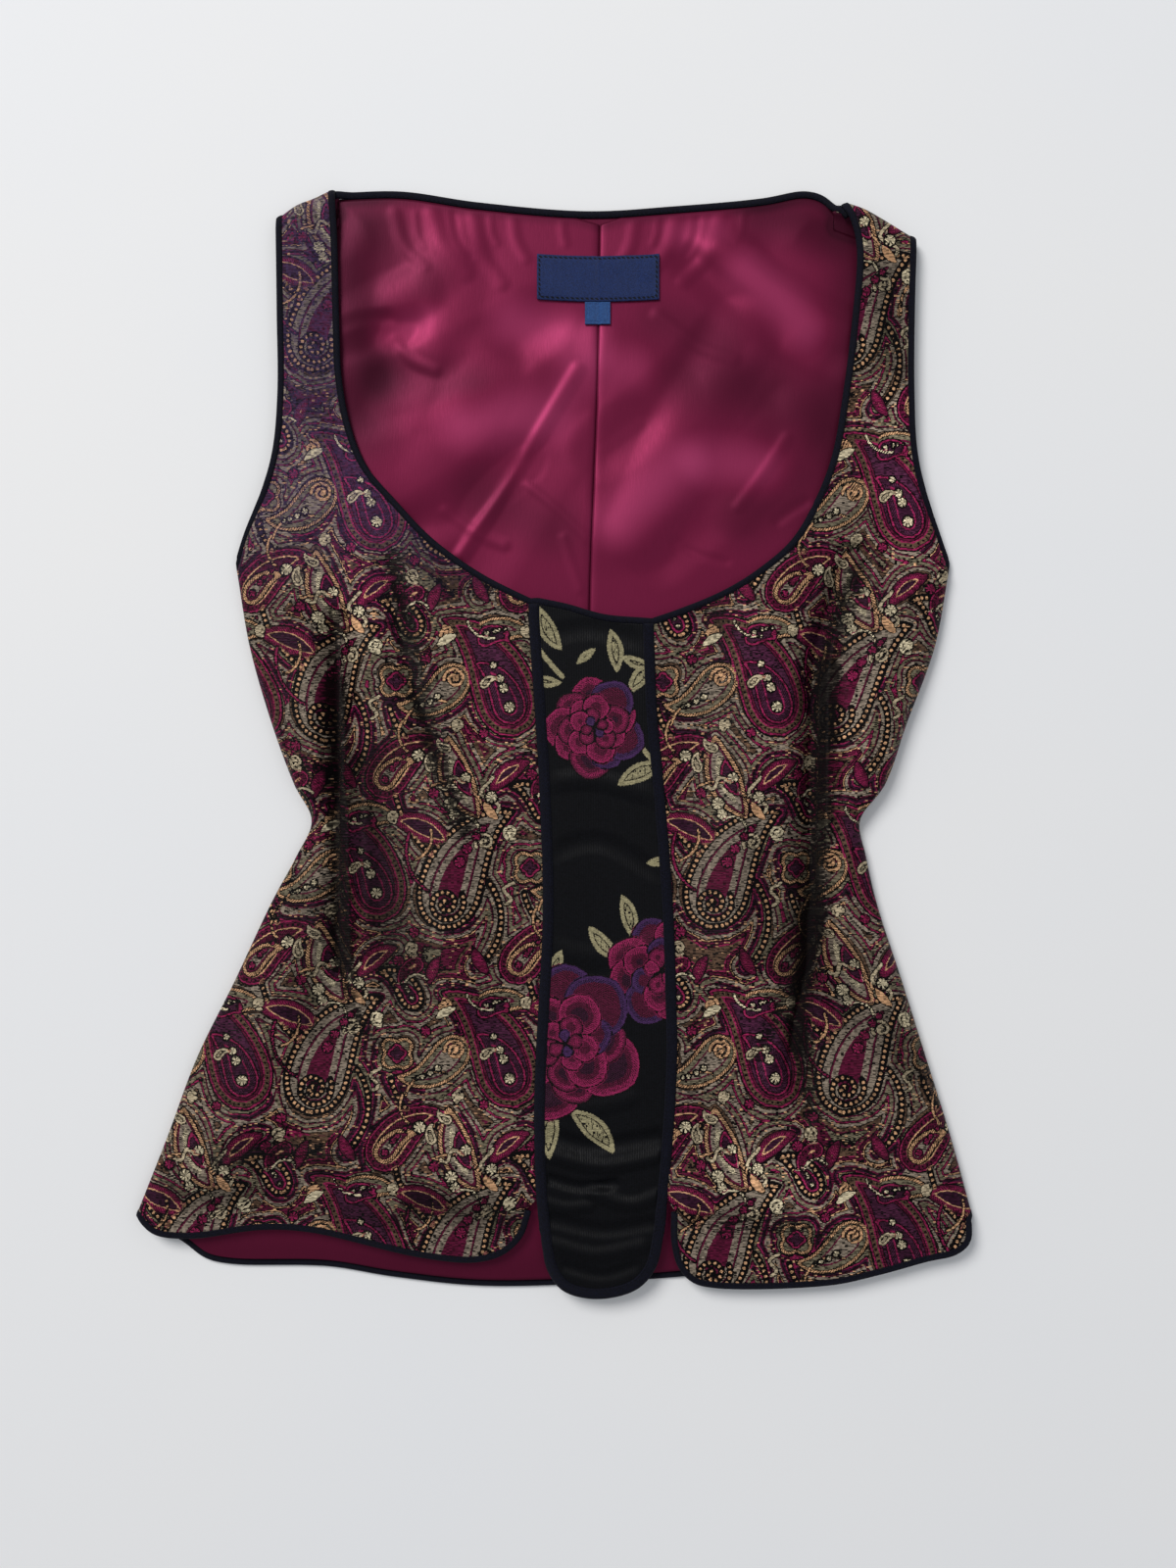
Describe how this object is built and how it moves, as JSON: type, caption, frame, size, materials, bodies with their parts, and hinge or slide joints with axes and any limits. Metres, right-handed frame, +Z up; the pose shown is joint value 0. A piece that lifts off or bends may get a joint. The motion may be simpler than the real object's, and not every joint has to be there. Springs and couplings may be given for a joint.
{
  "type": "jacquard top",
  "caption": "A fitted sleeveless top of lined jacquard with a scoop neck, a bound centre panel and bound edges, laid flat on its back.",
  "frame": {"origin": "bottom centre of the bounding box, on the surface the top lies on", "axes": "+X to the right as seen from above, +Y towards the shoulders, +Z up out of the front"},
  "size_m": [0.4886, 0.6452, 0.0176],
  "materials": {
    "jacquard": "woven paisley, soft sheen",
    "rose_jacquard": "woven, matt",
    "binding": "ribbed silk weave",
    "satin_lining": "satin",
    "woven_label": "woven, matt",
    "woven_tab": "woven, matt"
  },
  "bodies": {
    "root": {"back": "jacquard", "front_left": "jacquard", "front_right": "jacquard", "centre_panel": "rose_jacquard", "lining_left": "satin_lining", "lining_right": "satin_lining", "label_main": "woven_label", "label_size": "woven_tab", "hem_binding_front_left": "binding", "hem_binding_front_right": "binding", "armhole_binding_front_left": "binding", "armhole_binding_front_right": "binding", "armhole_binding_back_left": "binding", "armhole_binding_back_right": "binding", "hem_binding_back": "binding", "neck_binding_back": "binding", "neck_binding_front": "binding", "panel_binding": "binding"}
  },
  "joints": []
}
